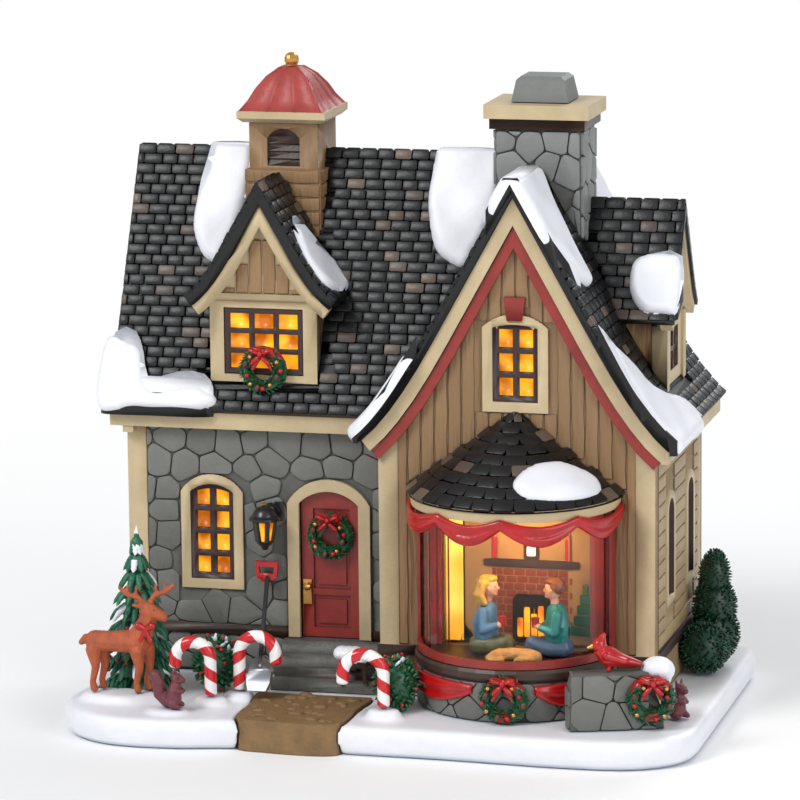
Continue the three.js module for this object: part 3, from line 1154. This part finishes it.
function squirrel() {
  const body = limb([[0, 0, 2.4, 2.9], [0.8, 0, 5, 2.6], [1.4, 0, 7, 1.7]], 8);
  const head = limb([[1.8, 0, 8.4, 1.7], [3, 0, 8, 1.5], [4.4, 0, 7.6, 0.7]], 7);
  const tail = limb([[-1.6, 0, 1.6, 1.3], [-4.4, 0, 3.6, 1.9], [-4.8, 0, 7, 2.1], [-3, 0, 9.8, 1.7]], 7);
  const ears = [-1, 1].map((side) => limb([[1.7, side, 9.4, 0.6], [1.5, side, 10.6, 0.4]], 5));
  const paws = [-1, 1].map((side) => limb([[1.4, side * 1.2, 5, 0.9], [3.8, side * 0.6, 5.4, 0.7]], 5));
  const above = block(-FAR, FAR, -FAR, FAR, 0, FAR);
  return join(body, head, tail, ears, paws).intersect(above);
}
placed('squirrel_front', squirrel(), { ...DRIFTS.squirrel, x: DRIFTS.squirrel.x + 1.6 }, 0x6b353b, 0.5);
placed('squirrel_side', squirrel(), { x: 53, y: -14, turn: -30 }, 0x6b353b, 0.5);

function bush(radius, height) {
  const above = block(-FAR, FAR, -FAR, FAR, 0, FAR);
  return lump(radius, [0, 0, height * 0.46], [1, 0.86, height / (2 * radius) * 1.08], 0.1).intersect(above);
}
placed('berry_bush_left', bush(7.6, 19), { x: -95, y: -8.6 }, GREEN, 0.65);
placed('berry_bush_right', bush(7.4, 18.4), { x: -33.6, y: -21.4 }, GREEN, 0.65);

function topiary() {
  const cone = lump(8, [0, 0, 20.6], [0.86, 0.86, 2.1], 0.07);
  const round = lump(7.4, [1.6, -15.5, 6.8], [1, 1.1, 1.04], 0.09);
  const link = ball(4, [-0.2, -8, 4], [1, 1.6, 1], 8);
  const above = block(-FAR, FAR, -FAR, FAR, 0, FAR);
  return join(cone, round, link).intersect(above);
}
placed('topiary', topiary(), { x: 52, y: 55.6 }, 0x1c4a35, 0.7);

// Garden wall, set at an angle in front of the bow window, with its wreath and cardinal
const GARDEN_WALL = { length: 28.8, height: 17.4, thick: 7, x: 24.6, y: -36.6, turn: 20.5 };

function gardenWall() {
  const { length, height, thick } = GARDEN_WALL;
  const outline = polygon([[0, 0], [length, 0], [length - 0.6, 6], [length - 3, 12], [length - 4.6, height],
    [1.2, height], [0, 13]]);
  const cap = ball(5.2, [length - 1.6, thick * 0.7, height - 2], [1, 0.95, 0.8], 10);
  const ring = moved(wreath(WREATH.radius, WREATH.tube), length - 4.2, -wreathBack, 9.6);
  return join(prism('y', outline, 0, thick), cap, ring);
}

function cardinal() {
  const body = limb([[-1, 0, 4.6, 2], [0.6, 0, 3.6, 2.7], [3.4, 0, 2.6, 1.8]], 8);
  const head = ball(2.1, [-1.8, 0, 6.6], [1, 0.9, 1], 8);
  const crest = limb([[-1.6, 0, 7.4, 1.1], [-0.7, 0, 9.4, 0.4]], 5);
  const beak = limb([[-3.2, 0, 6.4, 0.8], [-4.8, 0, 6, 0.3]], 5);
  const tail = limb([[3.6, 0, 2.4, 1.3], [8.4, 0, 1.4, 0.8]], 5);
  return join(body, head, crest, beak, tail).intersect(block(-FAR, FAR, -FAR, FAR, 0, FAR));
}

const wallPlace = { x: GARDEN_WALL.x, y: GARDEN_WALL.y, turn: GARDEN_WALL.turn };
placed('garden_wall', gardenWall(), wallPlace, STONE, 0.6);
placed('cardinal', moved(cardinal(), 11.4, 3.4, GARDEN_WALL.height + SEAT), wallPlace, 0xd01a2a, 0.45);

// Battery box, its door and the switch

const boxTop = BOX_BOTTOM + DOOR_THICK + SEAT + 2 * CELL_RADIUS + 1 + BOX_WALL;
const doorHalfX = boxHalfX - 2.2;
const doorHalfY = boxHalfY - 1.6;
const hingeY = BOX_Y - doorHalfY + HINGE_RADIUS;
const hingeZ = BOX_BOTTOM + DOOR_THICK / 2;
const PIN_REACH = 1.4;

function axle(radius, reach) {
  const geometry = new THREE.CylinderGeometry(radius, radius, 2 * reach, 12).rotateZ(Math.PI / 2);
  return solid(geometry.translate(BOX_X, hingeY, hingeZ));
}

function batteryBox() {
  const shell = aroundBox(boxHalfX, boxHalfY, BOX_BOTTOM, boxTop);
  const flange = block(BOX_X - boxHalfX - FLANGE, BOX_X + boxHalfX + SWITCH.x, BOX_Y - boxHalfY - FLANGE,
    BOX_Y + boxHalfY + FLANGE, GROUND + SEAT, GROUND + SEAT + 1.4);
  const bay = block(switchX - SWITCH.x / 2 - 0.2, switchX + SWITCH.x / 2,
    BOX_Y - SWITCH.y / 2, BOX_Y + SWITCH.y / 2, BOX_BOTTOM, GROUND + SEAT + 1);
  const cavity = block(BOX_X - boxHalfX + BOX_WALL, BOX_X + boxHalfX - BOX_WALL - 0.6,
    BOX_Y - boxHalfY + BOX_WALL + 0.4, BOX_Y + boxHalfY - BOX_WALL - 0.4, 0, boxTop - BOX_WALL);
  const doorWell = aroundBox(doorHalfX + SEAT, doorHalfY + SEAT, 0, BOX_BOTTOM + DOOR_THICK + SEAT);
  const pinHole = axle(HINGE_RADIUS + HINGE_PLAY, doorHalfX + PIN_REACH + SEAT);
  const carriageRoom = block(switchX - 3.6, switchX + 3.6, BOX_Y - SWITCH.y / 2 + 1, BOX_Y + SWITCH.y / 2 - 1,
    BOX_BOTTOM + 1.4, SWITCH.height);
  const slot = block(switchX - 2.2, switchX + 2.2, BOX_Y - 4, BOX_Y + 4, 0, BOX_BOTTOM + 2);
  return cut(join(shell, flange, bay), cavity, doorWell, pinHole, carriageRoom, slot);
}

function batteryDoor() {
  const plate = block(BOX_X - doorHalfX, BOX_X + doorHalfX, hingeY, BOX_Y + doorHalfY,
    BOX_BOTTOM, BOX_BOTTOM + DOOR_THICK);
  const pin = axle(HINGE_RADIUS, doorHalfX + PIN_REACH);
  const thumb = block(BOX_X - 6, BOX_X + 6,
    BOX_Y + doorHalfY - 5, BOX_Y + doorHalfY - 1.4, 0, BOX_BOTTOM + 0.5);
  const latchY = BOX_Y + doorHalfY - 1.2;
  const latch = block(BOX_X - 4, BOX_X + 4, latchY - 1, latchY,
    BOX_BOTTOM + 0.6, BOX_BOTTOM + DOOR_THICK + 1.4);
  return join(cut(join(plate, pin), thumb), latch);
}

function switchSlider() {
  const start = BOX_Y - SWITCH.travel / 2;
  const half = SWITCH.knob / 2;
  const knob = block(switchX - half, switchX + half, start - half, start + half,
    BOX_BOTTOM + 0.2, BOX_BOTTOM + 3);
  const plate = block(switchX - 3.2, switchX + 3.2, start - 3.6, start + 3.6,
    BOX_BOTTOM + 1.4 + SEAT, BOX_BOTTOM + 4);
  return join(knob, plate);
}

const cellZ = BOX_BOTTOM + DOOR_THICK + SEAT + CELL_RADIUS + 0.2;
function cell() {
  const end = CELL_LENGTH / 2;
  const profile = [[0, -end], [CELL_RADIUS - 0.6, -end], [CELL_RADIUS, -end + 0.6],
    [CELL_RADIUS, end - 1.8], [CELL_RADIUS - 0.8, end - 1], [2.7, end - 1], [2.7, end], [0, end]];
  return lathe(profile, 16).rotate([0, 90, 0]);
}

add('battery_box', batteryBox(), 0x2b2b2d, 0.5);
add('battery_door', batteryDoor(), 0x2b2b2d, 0.5);
add('switch_slider', switchSlider(), 0x151516, 0.45);
const cellAside = CELL_RADIUS + SEAT / 2;
add('battery_cell_1', moved(cell(), BOX_X, BOX_Y - cellAside, cellZ), 0x4a4f55, 0.35, 0.5);
add('battery_cell_2', moved(cell().rotate([0, 0, 180]), BOX_X, BOX_Y + cellAside, cellZ), 0x4a4f55, 0.35, 0.5);

export default parts;
